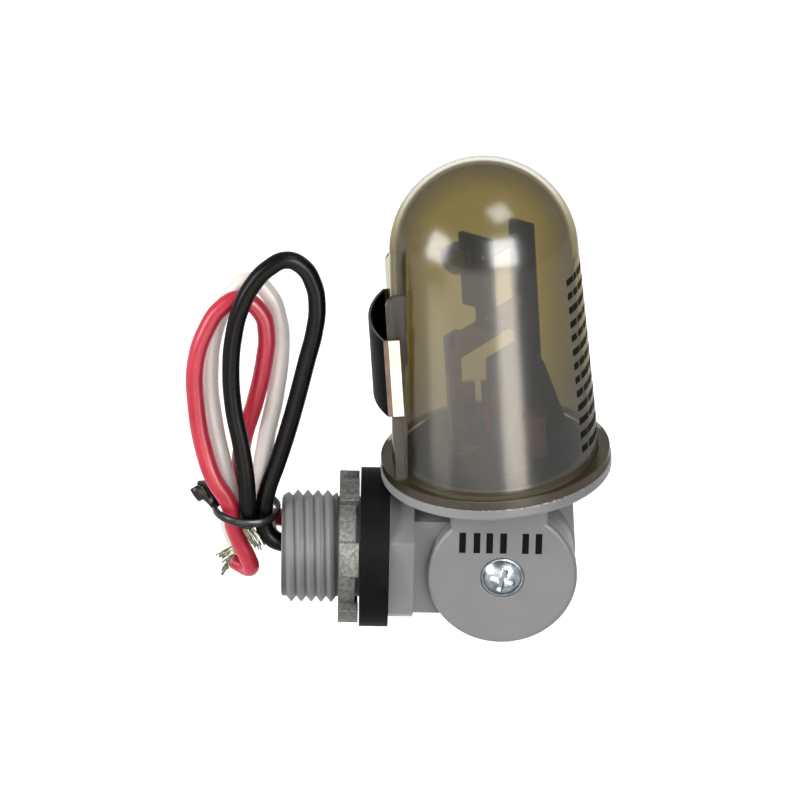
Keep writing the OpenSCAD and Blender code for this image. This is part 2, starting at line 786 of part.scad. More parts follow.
// Bare strands at the three far ends
module stripped_ends() {
    ends = [ROUTE_BLACK, ROUTE_RED, ROUTE_WHITE];
    color(STEEL) for (i = [0 : 2]) {
        last = ends[i][len(ends[i]) - 1];
        way = unit(last - ends[i][len(ends[i]) - 2]);
        sweep([last + 0.1 * way, last + 1.1 * way, STRAND_ENDS[i]], strand_r, lead_sides);
    }
}

module wire_tie() {
    in_r = tie_pitch_r + lead_r + 0.1;
    color(RUBBER) {
        translate(tie_at) rotate_extrude() translate([in_r + tie_t / 2, 0]) {
            square([tie_t, tie_w - tie_t], center = true);
            for (side = [-1, 1]) translate([0, side * (tie_w - tie_t) / 2]) circle(d = tie_t);
        }
        sweep(TAIL, tail_r, lead_sides);
    }
}

swivel_stem();
sealing_gasket();
locknut();
base();
dome();
light_slide();
pivot_screw();
pivot_nut();
terminal_block();
rear_plate();
cell_plate();
plate_spacers();
photocell();
cell_legs();
heater();
bimetal_arm();
arm_foot();
moving_contact();
contact_bracket();
fixed_contact();
terminal_tabs();
block_screws();
inner_lead_black();
inner_lead_red();
inner_lead_white();
lead_black();
lead_red();
lead_white();
stripped_ends();
wire_tie();
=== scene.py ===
# %% [markdown]
# A photocell switch: a smoky cover on a grey swivel base, a threaded conduit nipple and three tied leads.
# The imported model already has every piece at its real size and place, so this script only dresses it.
# It is loaded first, because everything below takes its places from it.

# %% Load the frame
import json
import math
import random

import bmesh
import bpy
from mathutils import Matrix, Vector


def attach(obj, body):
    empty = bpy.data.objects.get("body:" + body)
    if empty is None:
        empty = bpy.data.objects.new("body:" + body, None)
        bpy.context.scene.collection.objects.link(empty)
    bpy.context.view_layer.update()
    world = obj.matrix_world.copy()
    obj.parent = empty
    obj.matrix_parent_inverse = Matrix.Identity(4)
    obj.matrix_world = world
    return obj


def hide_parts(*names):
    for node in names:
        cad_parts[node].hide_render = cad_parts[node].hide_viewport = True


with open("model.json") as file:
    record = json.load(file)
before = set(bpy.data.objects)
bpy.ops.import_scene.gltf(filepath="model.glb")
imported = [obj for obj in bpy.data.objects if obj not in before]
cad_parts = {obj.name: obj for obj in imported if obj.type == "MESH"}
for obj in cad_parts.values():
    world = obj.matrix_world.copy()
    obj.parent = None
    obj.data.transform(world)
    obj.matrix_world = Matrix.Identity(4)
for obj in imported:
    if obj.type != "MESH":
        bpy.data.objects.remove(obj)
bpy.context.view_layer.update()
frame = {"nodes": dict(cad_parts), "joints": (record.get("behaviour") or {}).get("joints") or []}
nodes = frame["nodes"]
MM = 0.001


def mm(*xyz):
    """A point in the frame, given in millimetres."""
    return Vector(xyz) * MM


joints = {joint["name"]: joint for joint in frame["joints"]}
PIVOT = Vector(joints["swivel"]["pos_m"])
HEAD_UP = Vector(joints["light_level"]["axis"]).normalized()
HEAD_BACK = Vector((0, 1, 0))
HEAD_SIDE = HEAD_BACK.cross(HEAD_UP)
lean = math.degrees(math.atan2(-HEAD_UP.x, HEAD_UP.z))
print("nodes:", len(nodes), "head leans", round(lean, 2), "degrees")

# %% [markdown]
# The picture was taken with a long lens from in front and a little above, so the lines hardly converge.
# The camera's angles were found by fitting the round rims of the gasket, nut and flange to the picture.
# A lens of about 246 mm at one metre gives the same flat perspective.

# %% Camera
CAMERA_ELEVATION = 26.14
CAMERA_TURN = -0.92
CAMERA_ROLL = -1.36
CAMERA_DISTANCE = 1000
CAMERA_LENS = 245.6
SENSOR_WIDTH = 36
CLIP_START = 0.05
TARGET_RIGHT = -18.5
TARGET_UP = 27.24


def camera_axes():
    """Right, up and backward directions of the camera."""
    elevation, turn, roll = (math.radians(a) for a in (CAMERA_ELEVATION, CAMERA_TURN, CAMERA_ROLL))
    level = math.cos(elevation)
    back = Vector((math.sin(turn) * level, -math.cos(turn) * level, math.sin(elevation)))
    flat_right = Vector((math.cos(turn), math.sin(turn), 0))
    flat_up = back.cross(flat_right)
    right = flat_right * math.cos(roll) - flat_up * math.sin(roll)
    up = flat_up * math.cos(roll) + flat_right * math.sin(roll)
    return right, up, back


right, up, back = camera_axes()
camera = bpy.data.objects.new("camera", bpy.data.cameras.new("camera"))
bpy.context.scene.collection.objects.link(camera)
eye = PIVOT + (right * TARGET_RIGHT + up * TARGET_UP + back * CAMERA_DISTANCE) * MM
camera.matrix_world = Matrix.Translation(eye) @ Matrix((right, up, back)).transposed().to_4x4()
camera.data.lens = CAMERA_LENS
camera.data.sensor_width = SENSOR_WIDTH
camera.data.clip_start = CLIP_START
bpy.context.scene.camera = camera
print("camera at", [round(v, 3) for v in eye])

# %% [markdown]
# The leads come before the finishes, because they set how much room the object takes.
# Each is a soft wire of fixed length that leaves the nipple, makes one upright loop and ends under the tie.
# A Bezier curve through listed points gives a smooth wire. Its points carry the wire's radius,
# which a bevel of depth one turns into thickness, and which keeps the curve's own box close to the wire.

# %% Lead routes, in millimetres
LEAD_D = 3.2
ROUTE_BLACK = [
    (7, -3.2, -4.3), (-1, -3.3, -2.6), (-8, -3.4, 0), (-13, -3.4, 1.9), (-16, -3.2, 2.9), (-17.5, -2.9, 5),
    (-17.7, -2.7, 8), (-17.2, -2.6, 12), (-15.2, -2.2, 18.5), (-13, -2, 26.5), (-10.3, -2, 38.5),
    (-9, -2, 44.5), (-8.6, -2, 49.6), (-9.4, -2, 54), (-11.4, -2, 57.2), (-14.1, -2.1, 58.4),
    (-17.2, -2.4, 57), (-20.2, -2.7, 53.6), (-22.2, -3, 49.3), (-23.4, -3, 44), (-23.9, -3, 37),
    (-23.3, -3.2, 29), (-21.9, -3.7, 22), (-20.8, -4.2, 14), (-20.6, -4.3, 8), (-20.5, -4.3, 6.3),
]
ROUTE_RED = [
    (7, 2.7, 4.5), (-3, 2.8, 4.4), (-10, 2.9, 4.1), (-13.5, 3.2, 4), (-16, 3.8, 3.9), (-18.6, 3.7, 4.2),
    (-20.3, 2.3, 6.5), (-21, 2.3, 9.6), (-22.1, 3.2, 14.6), (-21.6, 2.7, 20), (-19.4, 1.6, 29),
    (-17.9, 0.9, 37.5), (-17.6, 0.8, 42), (-18.7, 0.8, 46.6), (-22.4, 0.8, 49.2), (-25.8, 0.4, 47.5),
    (-28.4, -0.3, 43.6), (-30.3, -0.9, 37), (-30.2, -1.3, 29.5), (-28.6, -2.2, 20), (-26.6, -3, 14.4),
    (-24.6, -2.9, 11), (-23.5, -2.7, 8), (-23.2, -2.2, 5), (-22.2, -1.6, 1.8), (-20.5, -1.2, -2.2),
    (-20, -0.6, -4.1), (-20.6, 0.8, -5.2), (-21.8, 2.1, -5.2), (-22.9, 2.9, -4.9),
]
ROUTE_WHITE = [
    (7, 3.2, -4.3), (-1, 2.4, -3.2), (-8, 1.1, -1.2), (-13, 0.6, 0), (-16, 0.5, 1.3), (-17.2, 0.4, 4.3),
    (-17.6, 0.6, 8), (-18.3, 0.6, 12.5), (-17.5, 2, 20.5), (-15.9, 3.1, 29), (-15, 4, 39.5), (-15.5, 4.1, 44),
    (-17.3, 4.2, 48.7), (-20.7, 4.2, 51.3), (-24, 4, 48.6), (-26.6, 3.4, 43), (-27.8, 2.5, 34),
    (-26.9, 1.7, 24.3), (-24.9, 0.3, 15), (-24, 0.4, 11), (-23.5, 0.7, 8), (-24.1, 1.2, 4.8),
    (-23.6, 1.8, 1.6), (-22.9, 1.9, -0.3),
]
LEADS = {"black": ROUTE_BLACK, "red": ROUTE_RED, "white": ROUTE_WHITE}
print("route points:", {colour: len(route) for colour, route in LEADS.items()})

# %% Leads as bevelled curves
CURVE_STEPS = 10
BEVEL_STEPS = 6


def new_piece(name, data):
    piece = bpy.data.objects.new(name, data)
    bpy.context.scene.collection.objects.link(piece)
    return piece


def lead_curve(colour, route):
    """One lead through its route's points, with flat cut ends."""
    curve = bpy.data.curves.new(f"{colour}_lead", "CURVE")
    curve.dimensions = "3D"
    curve.bevel_depth = 1
    curve.bevel_resolution = BEVEL_STEPS
    curve.resolution_u = CURVE_STEPS
    curve.use_fill_caps = True
    spline = curve.splines.new("BEZIER")
    spline.bezier_points.add(len(route) - 1)
    for point, place in zip(spline.bezier_points, route):
        point.co = mm(*place)
        point.radius = LEAD_D / 2 * MM
        point.handle_left_type = "AUTO"
        point.handle_right_type = "AUTO"
    piece = new_piece(f"{colour}_lead", curve)
    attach(piece, "stem")
    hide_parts(f"lead_{colour}")
    return piece


lead_pieces = {colour: lead_curve(colour, route) for colour, route in LEADS.items()}
print("leads:", sorted(lead_pieces))

# %% [markdown]
# The strands, the tails of the tie and the beads of the seam are all thin tubes. Curves could draw them too,
# but the tails are flat and twisted, so tubes are worked out point by point and joined into one mesh.

# %% Tubes and meshes


def mesh_piece(name, points, faces):
    mesh = bpy.data.meshes.new(name)
    mesh.from_pydata([tuple(p) for p in points], [], faces)
    mesh.validate()
    mesh.polygons.foreach_set("use_smooth", [True] * len(mesh.polygons))
    return new_piece(name, mesh)


def merged(parts):
    """Several lots of points and faces, in millimetres, as one lot in metres."""
    points, faces = [], []
    for some_points, some_faces in parts:
        start = len(points)
        points += [Vector(p) * MM for p in some_points]
        faces += [tuple(start + i for i in face) for face in some_faces]
    return points, faces


def tube(path, radius, sides=8, flat=1.0, twist=0.0):
    """Points and faces of a closed tube along a path. It can be flattened, and twisted on its way."""
    points, faces = [], []
    last = len(path) - 1
    side = None
    for i, at in enumerate(path):
        ahead = (path[min(i + 1, last)] - path[max(i - 1, 0)]).normalized()
        side = ahead.orthogonal() if side is None else side - ahead * side.dot(ahead)
        side.normalize()
        turned = Matrix.Rotation(twist * i / last, 3, ahead) @ side
        across = ahead.cross(turned)
        for k in range(sides):
            turn = 2 * math.pi * k / sides
            points.append(at + (turned * math.cos(turn) + across * math.sin(turn) * flat) * radius)
    for i in range(last):
        for k in range(sides):
            a, b = i * sides + k, i * sides + (k + 1) % sides
            faces.append((a, b, b + sides, a + sides))
    faces.append(tuple(range(sides - 1, -1, -1)))
    faces.append(tuple(range(last * sides, (last + 1) * sides)))
    return points, faces


# %% [markdown]
# Where a lead ends, its insulation is stripped and the fine tinned strands splay out a little.
# A plain stub would look like a pin, so each end is a bundle of thin bent tubes, fanned out by a seeded draw.

# %% Stripped strands
STRAND_ENDS = [(-18.8, -4.4, 2.2), (-24.6, 3.9, -7.2), (-25, 1.2, -3.4)]
STRANDS = 15
STRAND_R = 0.14
STRAND_SIDES = 6
STRIP_R = 1.05
STRAND_IN, STRAND_OUT = 1.2, 0.9
SPREAD_IN, SPREAD_CUT, SPREAD_END = 0.8, 0.9, 1.1
STRAY = 0.7
BOW = 0.35
draw = random.Random(7)


def strand(start, way, end):
    """One strand: straight out of the insulation, then bent towards a point near the end."""
    turn, out = draw.uniform(0, 2 * math.pi), math.sqrt(draw.random())
    side = way.orthogonal().normalized()
    off = (side * math.cos(turn) + way.cross(side) * math.sin(turn)) * out
    first = start - way * STRAND_IN + off * STRIP_R * SPREAD_IN
    cut_end = start + off * STRIP_R * SPREAD_CUT
    second = start + way * STRAND_OUT + off * STRIP_R
    stray = Vector((draw.uniform(-1, 1), draw.uniform(-1, 1), draw.uniform(-1, 1))) * STRAY
    third = end + off * STRIP_R * SPREAD_END + stray
    middle = (second + third) / 2 + off * BOW
    return tube([first, cut_end, second, middle, third], STRAND_R, STRAND_SIDES)


bundle = []
for route, end in zip(LEADS.values(), STRAND_ENDS):
    start, before = Vector(route[-1]), Vector(route[-2])
    way = (start - before).normalized()
    bundle += [strand(start, way, Vector(end)) for _ in range(STRANDS)]
strands = mesh_piece("stripped_strands", *merged(bundle))
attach(strands, "stem")
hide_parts("stripped_ends")
print("strands:", len(bundle))

# %% [markdown]
# The loops are held by a thin black tie, pulled round the bundle and twisted at the left.
# The ring is a small revolve of a flat band, and the tail is two flat strips that twist as they leave it.

# %% Wire tie
TIE_AT = Vector((-20.85, -1, 8))
TIE_R = 5.8
TIE_W = 1.6
TIE_T = 0.9
TIE_SWAY, TIE_SWAY_TURN = 0.2, 0.6
TAIL_ROUTES = [
    [(-26, 0.1, 7.8), (-26.9, 0.5, 9), (-27.9, 0.8, 10.6), (-28.9, 0.9, 11.8), (-29.9, 0.9, 11.9)],
    [(-26.2, -0.2, 8.4), (-27.2, 0.2, 9.6), (-28.4, 0.5, 10.4), (-29.5, 0.6, 10.2), (-30.4, 0.6, 9.6)],
]
TAIL_TWISTS = [0.9, -1.1]
TAIL_HALF = 1.45
TAIL_FLAT = 0.32
TAIL_SIDES = 12


def tie_ring(steps=72, sides=12):
    """A flat band with round edges, bent into a slightly uneven ring."""
    points, faces = [], []
    for i in range(steps):
        turn = 2 * math.pi * i / steps
        sway = TIE_SWAY * math.sin(2 * turn + TIE_SWAY_TURN)
        for k in range(sides):
            a = 2 * math.pi * k / sides
            across = TIE_T / 2 * math.cos(a)
            along = (TIE_W - TIE_T) / 2 * (1 if math.sin(a) > 0 else -1) + TIE_T / 2 * math.sin(a)
            r = TIE_R + across
            points.append(TIE_AT + Vector((r * math.cos(turn), r * math.sin(turn), along + sway)))
    for i in range(steps):
        for k in range(sides):
            a, b = i * sides + k, i * sides + (k + 1) % sides
            c = (i + 1) % steps * sides
            faces.append((a, c + k, c + (k + 1) % sides, b))
    return points, faces


tails = [tube([Vector(p) for p in route], TAIL_HALF, TAIL_SIDES, flat=TAIL_FLAT, twist=turn)
         for route, turn in zip(TAIL_ROUTES, TAIL_TWISTS)]
tie = mesh_piece("wire_tie_band", *merged([tie_ring()] + tails))
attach(tie, "stem")
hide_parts("wire_tie")
print("tie faces:", len(tie.data.polygons))

# %% [markdown]
# A cord is more than a shape: it has a length, a thickness and a place where it leaves the part.

# %% [markdown]
# Finishes: most surfaces here share the same two effects, a slow drift of tone and a fine grain.
# One node group makes both from object coordinates, and each material sets its own colours and scales.

# %% Shared surface group
DRIFT_DETAIL, GRAIN_DETAIL = 3, 4
DRIFT_BAND = (0.35, 0.65)
GRAIN_BAND = (0.3, 0.7)


def socket(group, name, kind, direction, default=None):
    made = group.interface.new_socket(name=name, in_out=direction, socket_type=kind)
    if default is not None:
        made.default_value = default


def colour_mix(tree):
    node = tree.nodes.new("ShaderNodeMix")
    node.data_type = "RGBA"
    return node


def map_range(tree, low, high):
    node = tree.nodes.new("ShaderNodeMapRange")
    node.inputs["From Min"].default_value = low
    node.inputs["From Max"].default_value = high
    return node


def build_surface_group():
    """Colour, roughness and bump height that vary over a surface."""
    group = bpy.data.node_groups.new("surface_life", "ShaderNodeTree")
    socket(group, "Colour", "NodeSocketColor", "INPUT", (0.5, 0.5, 0.5, 1))
    socket(group, "Shade", "NodeSocketColor", "INPUT", (0.4, 0.4, 0.4, 1))
    for name, value in (("Drift Scale", 120.0), ("Grain Scale", 2500.0), ("Grain", 0.3),
                        ("Rough Low", 0.35), ("Rough High", 0.5)):
        socket(group, name, "NodeSocketFloat", "INPUT", value)
    socket(group, "Colour", "NodeSocketColor", "OUTPUT")
    socket(group, "Roughness", "NodeSocketFloat", "OUTPUT")
    socket(group, "Height", "NodeSocketFloat", "OUTPUT")
    made, link = group.nodes.new, group.links.new
    inside, outside = made("NodeGroupInput"), made("NodeGroupOutput")
    place = made("ShaderNodeTexCoord")
    drift, grain = made("ShaderNodeTexNoise"), made("ShaderNodeTexNoise")
    drift.inputs["Detail"].default_value = DRIFT_DETAIL
    grain.inputs["Detail"].default_value = GRAIN_DETAIL
    for noise, scale in ((drift, "Drift Scale"), (grain, "Grain Scale")):
        link(place.outputs["Object"], noise.inputs["Vector"])
        link(inside.outputs[scale], noise.inputs["Scale"])
    spread, tint = map_range(group, *DRIFT_BAND), colour_mix(group)
    link(drift.outputs["Fac"], spread.inputs["Value"])
    link(spread.outputs["Result"], tint.inputs["Factor"])
    link(inside.outputs["Colour"], tint.inputs["A"])
    link(inside.outputs["Shade"], tint.inputs["B"])
    rough = map_range(group, *GRAIN_BAND)
    link(grain.outputs["Fac"], rough.inputs["Value"])
    link(inside.outputs["Rough Low"], rough.inputs["To Min"])
    link(inside.outputs["Rough High"], rough.inputs["To Max"])
    height = made("ShaderNodeMath")
    height.operation = "MULTIPLY"
    link(grain.outputs["Fac"], height.inputs[0])
    link(inside.outputs["Grain"], height.inputs[1])
    link(tint.outputs["Result"], outside.inputs["Colour"])
    link(rough.outputs["Result"], outside.inputs["Roughness"])
    link(height.outputs["Value"], outside.inputs["Height"])
    return group


surface_life = build_surface_group()
print("group:", surface_life.name)

# %% [markdown]
# Each opaque finish is one Principled material round that group. Colours are written as they look on
# a screen and turned into linear light once. A Bevel node softens moulded edges without a change to the mesh.

# %% Material maker
BEVEL_SAMPLES = 6


def screen_colour(r, g, b):
    """A colour as seen on a screen, 0 to 255, as linear light."""
    return tuple(((c / 255 + 0.055) / 1.055) ** 2.4 if c > 10 else c / 255 / 12.92 for c in (r, g, b)) + (1,)


def finish(name, colour, shade, rough=(0.35, 0.5), drift=120, grain=2500, bump=0.3, depth=0.02, edge=0.0,
           metal=0.0, shine=0.5):
    """A material with the shared surface group, a bump of the given depth in mm and softened edges."""
    material = bpy.data.materials.new(name)
    material.use_nodes = True
    tree = material.node_tree
    shader = tree.nodes["Principled BSDF"]
    shader.inputs["Metallic"].default_value = metal
    shader.inputs["Specular IOR Level"].default_value = shine
    life = tree.nodes.new("ShaderNodeGroup")
    life.node_tree = surface_life
    values = {"Colour": screen_colour(*colour), "Shade": screen_colour(*shade), "Drift Scale": drift,
              "Grain Scale": grain, "Grain": bump, "Rough Low": rough[0], "Rough High": rough[1]}
    for key, value in values.items():
        life.inputs[key].default_value = value
    relief = tree.nodes.new("ShaderNodeBump")
    relief.inputs["Strength"].default_value = 1
    relief.inputs["Distance"].default_value = depth * MM
    tree.links.new(life.outputs["Colour"], shader.inputs["Base Color"])
    tree.links.new(life.outputs["Roughness"], shader.inputs["Roughness"])
    tree.links.new(life.outputs["Height"], relief.inputs["Height"])
    tree.links.new(relief.outputs["Normal"], shader.inputs["Normal"])
    if edge:
        bevel = tree.nodes.new("ShaderNodeBevel")
        bevel.samples = BEVEL_SAMPLES
        bevel.inputs["Radius"].default_value = edge * MM
        tree.links.new(bevel.outputs["Normal"], relief.inputs["Normal"])
    return material


# %% [markdown]
# The opaque finishes: satin grey moulding, dusty rubber, grainy cast zinc, bright plated steel and so on.
# Colours were set by comparing evenly lit places with the picture. The dark pieces shine less than usual
# plastic would, because everything they mirror on this stage is white.

# %% Opaque finishes
grey_plastic = finish("grey_plastic", (137, 137, 138), (130, 130, 131), rough=(0.4, 0.52), drift=60,
                      grain=4200, bump=0.5, depth=0.012, edge=0.25, shine=0.3)
thread_plastic = finish("thread_plastic", (134, 134, 135), (127, 127, 128), rough=(0.4, 0.5), drift=60,
                        grain=4200, bump=0.3, depth=0.01, shine=0.12)
black_rubber = finish("black_rubber", (19, 18, 20), (13, 13, 14), rough=(0.5, 0.7), drift=260,
                      grain=2600, bump=0.8, depth=0.03, edge=0.2, shine=0.03)
cast_zinc = finish("cast_zinc", (104, 104, 101), (74, 74, 72), rough=(0.45, 0.65), drift=1500,
                   grain=1900, bump=1.0, depth=0.14, edge=0.3, metal=0.4, shine=0.2)
plated_steel = finish("plated_steel", (138, 146, 152), (96, 103, 109), rough=(0.2, 0.3), drift=700,
                      grain=3000, bump=0.5, depth=0.012, edge=0.12, metal=1.0)
phenolic = finish("phenolic", (26, 24, 23), (18, 17, 17), rough=(0.35, 0.5), drift=200,
                  grain=2500, bump=0.4, depth=0.02, edge=0.2, shine=0.2)
dark_steel = finish("dark_steel", (64, 60, 54), (46, 43, 39), rough=(0.4, 0.55), drift=400,
                    grain=2600, bump=0.4, depth=0.012, metal=0.6)
brass = finish("brass", (150, 132, 100), (122, 106, 80), rough=(0.3, 0.45), drift=300,
               grain=2600, bump=0.5, depth=0.012, edge=0.1, metal=0.8)
bimetal = finish("bimetal", (128, 112, 90), (106, 93, 76), rough=(0.35, 0.5), drift=300,
                 grain=2600, bump=0.5, depth=0.012, metal=0.7)
cell_lacquer = finish("cell_lacquer", (44, 42, 34), (88, 84, 58), rough=(0.12, 0.25), drift=900,
                      grain=2500, bump=0.3, depth=0.02)
heater_winding = finish("heater_winding", (104, 86, 68), (82, 66, 52), rough=(0.3, 0.45), drift=600,
                        grain=2500, bump=0.4, depth=0.02)
tinned = finish("tinned_copper", (150, 146, 126), (62, 60, 48), rough=(0.25, 0.4), drift=900,
                grain=2500, bump=0.2, depth=0.01, metal=1.0)
tie_plastic = finish("tie_plastic", (18, 18, 20), (11, 11, 13), rough=(0.22, 0.36), drift=300,
                     grain=1800, bump=0.6, depth=0.03, shine=0.25)
print_ink = finish("print_ink", (17, 16, 16), (23, 22, 21), rough=(0.6, 0.7), drift=900,
                   grain=2500, bump=0.2, depth=0.005, shine=0.02)
print("materials so far:", len(bpy.data.materials))

# %% [markdown]
# The insulation of the leads is smooth extruded plastic, so its grain is coarse and shallow. The inner leads
# have it too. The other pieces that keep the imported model's mesh are dressed by one table, finish by finish.

# %% Lead insulation and where each finish goes
insulation = {
    "black": finish("black_insulation", (11, 11, 12), (7, 7, 8), rough=(0.26, 0.32), drift=140,
                    grain=900, bump=0.3, depth=0.01, shine=0.08),
    "red": finish("red_insulation", (199, 44, 68), (186, 36, 58), rough=(0.3, 0.36), drift=140,
                  grain=900, bump=0.3, depth=0.01, shine=0.3),
    "white": finish("white_insulation", (242, 236, 230), (234, 227, 221), rough=(0.3, 0.36), drift=140,
                    grain=900, bump=0.3, depth=0.01, shine=0.3),
}


def dress(piece, *materials):
    piece.data.materials.clear()
    for material in materials:
        piece.data.materials.append(material)


for colour, piece in lead_pieces.items():
    dress(piece, insulation[colour])
    dress(nodes[f"inner_lead_{colour}"], insulation[colour])
dress(strands, tinned)
dress(tie, tie_plastic)

FINISHES = {
    grey_plastic: ["base"],
    black_rubber: ["sealing_gasket"],
    cast_zinc: ["locknut"],
    plated_steel: ["pivot_screw", "pivot_nut", "moving_contact", "fixed_contact", "cell_legs"],
    dark_steel: ["block_screws"],
    phenolic: ["terminal_block", "rear_plate", "cell_plate"],
    brass: ["plate_spacers", "arm_foot", "contact_bracket", "terminal_tabs"],
    bimetal: ["bimetal_arm"],
    cell_lacquer: ["photocell"],
    heater_winding: ["heater"],
}
for material, names in FINISHES.items():
    for name in names:
        dress(nodes[name], material)
print("pieces dressed by the table:", sum(len(names) for names in FINISHES.values()))

# %% [markdown]
# The nipple's thread is cut here, because it is too fine for the model. A ring-shaped grid could be pushed
# out and in, but a crest that crosses its rows comes out jagged. So the rows climb with the thread: one row
# lies along the root and two along the blunt crest, and after a full turn each row meets the one that starts
# a pitch further on. The roots stay a little proud of the plain mouth, so the two walls never share a place.

# %% Thread
THREAD_R = 10.2
THREAD_ROOT = 9.2
THREAD_PITCH = 1.814
THREAD_FROM, THREAD_TO = -14.2, -4.1
THREAD_PHASE = -12.75
THREAD_PROFILE = [(0, 0), (0.43, 1), (0.57, 1)]
THREAD_WALL = 1
RUN_IN, RUN_OUT = 0.8, 0.25
AROUND = 144


def thread_radius(x, height):
    """Radius for a height of the profile. The thread runs out at both ends."""
    run_in = min((x - THREAD_FROM) / (RUN_IN * THREAD_PITCH), 1)
    run_out = min((THREAD_TO - x) / (RUN_OUT * THREAD_PITCH), 1)
    return THREAD_ROOT + (THREAD_R - THREAD_ROOT) * height * run_in * run_out


def thread_tube():
    """A closed tube with a right-handed thread outside and a plain wall inside the nipple's own wall."""
    before = math.ceil((THREAD_PHASE - THREAD_FROM) / THREAD_PITCH) + 1
    after = math.ceil((THREAD_TO - THREAD_PHASE) / THREAD_PITCH) + 1
    rows = [(turn + phase, height) for turn in range(-before, after) for phase, height in THREAD_PROFILE]
    points, faces = [], []
    for k in range(AROUND):
        way = Vector((0, math.cos(2 * math.pi * k / AROUND), math.sin(2 * math.pi * k / AROUND)))
        for pitches, height in rows:
            x = THREAD_PHASE + THREAD_PITCH * (pitches + k / AROUND)
            x = min(max(x, THREAD_FROM), THREAD_TO)
            points.append(way * thread_radius(x, height) + Vector((x, 0, 0)))
        points += [way * (THREAD_ROOT - THREAD_WALL) + Vector((x, 0, 0)) for x in (THREAD_TO, THREAD_FROM)]
    column = len(rows) + 2
    for k in range(AROUND):
        here, there = k * column, (k + 1) % AROUND * column
        step = len(THREAD_PROFILE) if k == AROUND - 1 else 0
        for i in range(len(rows) - 1 - step):
            faces.append((here + i, here + i + 1, there + i + 1 + step, there + i + step))
        for a, b in ((len(rows) - 1, len(rows)), (len(rows), len(rows) + 1), (len(rows) + 1, 0)):
            faces.append((here + a, here + b, there + b, there + a))
    return merged([(points, faces)])


print("thread:", round((THREAD_TO - THREAD_FROM) / THREAD_PITCH, 1), "turns")

# %% [markdown]
# Painted shade darkens the bottom of the thread: the thread's own material darkens towards its roots,
# by the distance from the nipple's axis, which is the frame's X axis.

# %% Painted shade in the thread roots
# Painted shade: the dark colour that the thread's roots blend into.
ROOT_PAINTED_SHADE = screen_colour(84, 84, 86)
ROOT_CLEAR = 0.5


def paint_shade_in_roots(material):
    """Paints shade into the thread's roots, by blending the material's colour into a dark one there."""
    tree = material.node_tree
    colour = tree.nodes["Principled BSDF"].inputs["Base Color"]
    plain = colour.links[0].from_socket
    place, flat = tree.nodes.new("ShaderNodeTexCoord"), tree.nodes.new("ShaderNodeVectorMath")
    flat.operation = "MULTIPLY"
    flat.inputs[1].default_value = (0, 1, 1)
    radius, fade = tree.nodes.new("ShaderNodeVectorMath"), colour_mix(tree)
    radius.operation = "LENGTH"
    depth = map_range(tree, THREAD_ROOT * MM, (THREAD_ROOT + ROOT_CLEAR) * MM)
    tree.links.new(place.outputs["Object"], flat.inputs[0])
    tree.links.new(flat.outputs["Vector"], radius.inputs[0])
    tree.links.new(radius.outputs["Value"], depth.inputs["Value"])
    tree.links.new(depth.outputs["Result"], fade.inputs["Factor"])
    fade.inputs["A"].default_value = ROOT_PAINTED_SHADE
    tree.links.new(plain, fade.inputs["B"])
    tree.links.new(fade.outputs["Result"], colour)


paint_shade_in_roots(thread_plastic)
print("thread roots shaded over", ROOT_CLEAR, "mm")

# %% [markdown]
# On the real part the stem and its thread are one moulding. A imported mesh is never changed, so the stem's is
# copied, the copy's plain thread wall is drawn in, and the thread is merged over it with its own material.

# %% Threaded stem
MERGE = 0.002
SAME_RADIUS = 0.03
DRAWN_IN = 0.2
SHARP_ANGLE = 32


def copy_of(node, name):
    """A new piece with a copy of a node's mesh."""
    return new_piece(name, nodes[node].data.copy())


def threaded_stem():
    """The stem's mesh with its plain thread wall drawn in, and the cut thread over it."""
    stem = copy_of("swivel_stem", "threaded_stem")
    for vertex in stem.data.vertices:
        r = math.hypot(vertex.co.y, vertex.co.z) / MM
        if abs(r - THREAD_R) < SAME_RADIUS and vertex.co.x < 0:
            shrink = (THREAD_ROOT - DRAWN_IN) / r
            vertex.co.y *= shrink
            vertex.co.z *= shrink
    thread = mesh_piece("thread", *thread_tube())
    built = bmesh.new()
    built.from_mesh(stem.data)
    plain_points, plain_faces = len(built.verts), len(built.faces)
    built.from_mesh(thread.data)
    bmesh.ops.remove_doubles(built, verts=built.verts[plain_points:], dist=MERGE * MM)
    bmesh.ops.recalc_face_normals(built, faces=built.faces)
    thread_faces = len(built.faces) - plain_faces
    built.to_mesh(stem.data)
    built.free()
    bpy.data.objects.remove(thread)
    dress(stem, grey_plastic, thread_plastic)
    stem.data.polygons.foreach_set("material_index", [0] * plain_faces + [1] * thread_faces)
    return stem, thread_faces


stem, thread_faces = threaded_stem()
stem.data.set_sharp_from_angle(angle=math.radians(SHARP_ANGLE))
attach(stem, "stem")
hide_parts("swivel_stem")
print("thread faces:", thread_faces)

# %% [markdown]
# The cover is one piece of smoky plastic: a round-topped wall, a lip at its foot and two rails on the left.
# Its parts could be told apart by hand, but a test on each point's place in the head still holds
# when the model is packed again.

# %% Where the cover's faces are
DOME_R = 18.8
CROWN_R = 16.9
CROWN_UP = 39.9
LIP_T = 1.8
WALL = 1.2
RAIL_Y = 8.9
NEAR = 0.05


def head_place(point):
    """A point's place in the head, in mm from the pivot: to its side, off its axis and up along it."""
    off = (point - PIVOT) / MM
    height = off.dot(HEAD_UP)
    return off.dot(HEAD_SIDE), (off - HEAD_UP * height).length, height


dome_heights = [head_place(v.co)[2] for v in nodes["dome"].data.vertices]
LIP_Z = min(dome_heights)
WALL_Z = LIP_Z + LIP_T
CROWN_Z = max(dome_heights) - CROWN_R


def wall_radius(height):
    return DOME_R + (CROWN_R - DOME_R) * max(height - WALL_Z, 0) / CROWN_UP


def is_inside(point):
    """True on the cover's inner face."""
    _, r, height = head_place(point)
    if height > CROWN_Z:
        return math.hypot(r, height - CROWN_Z) < CROWN_R - WALL / 2
    return r < wall_radius(height) - WALL / 2


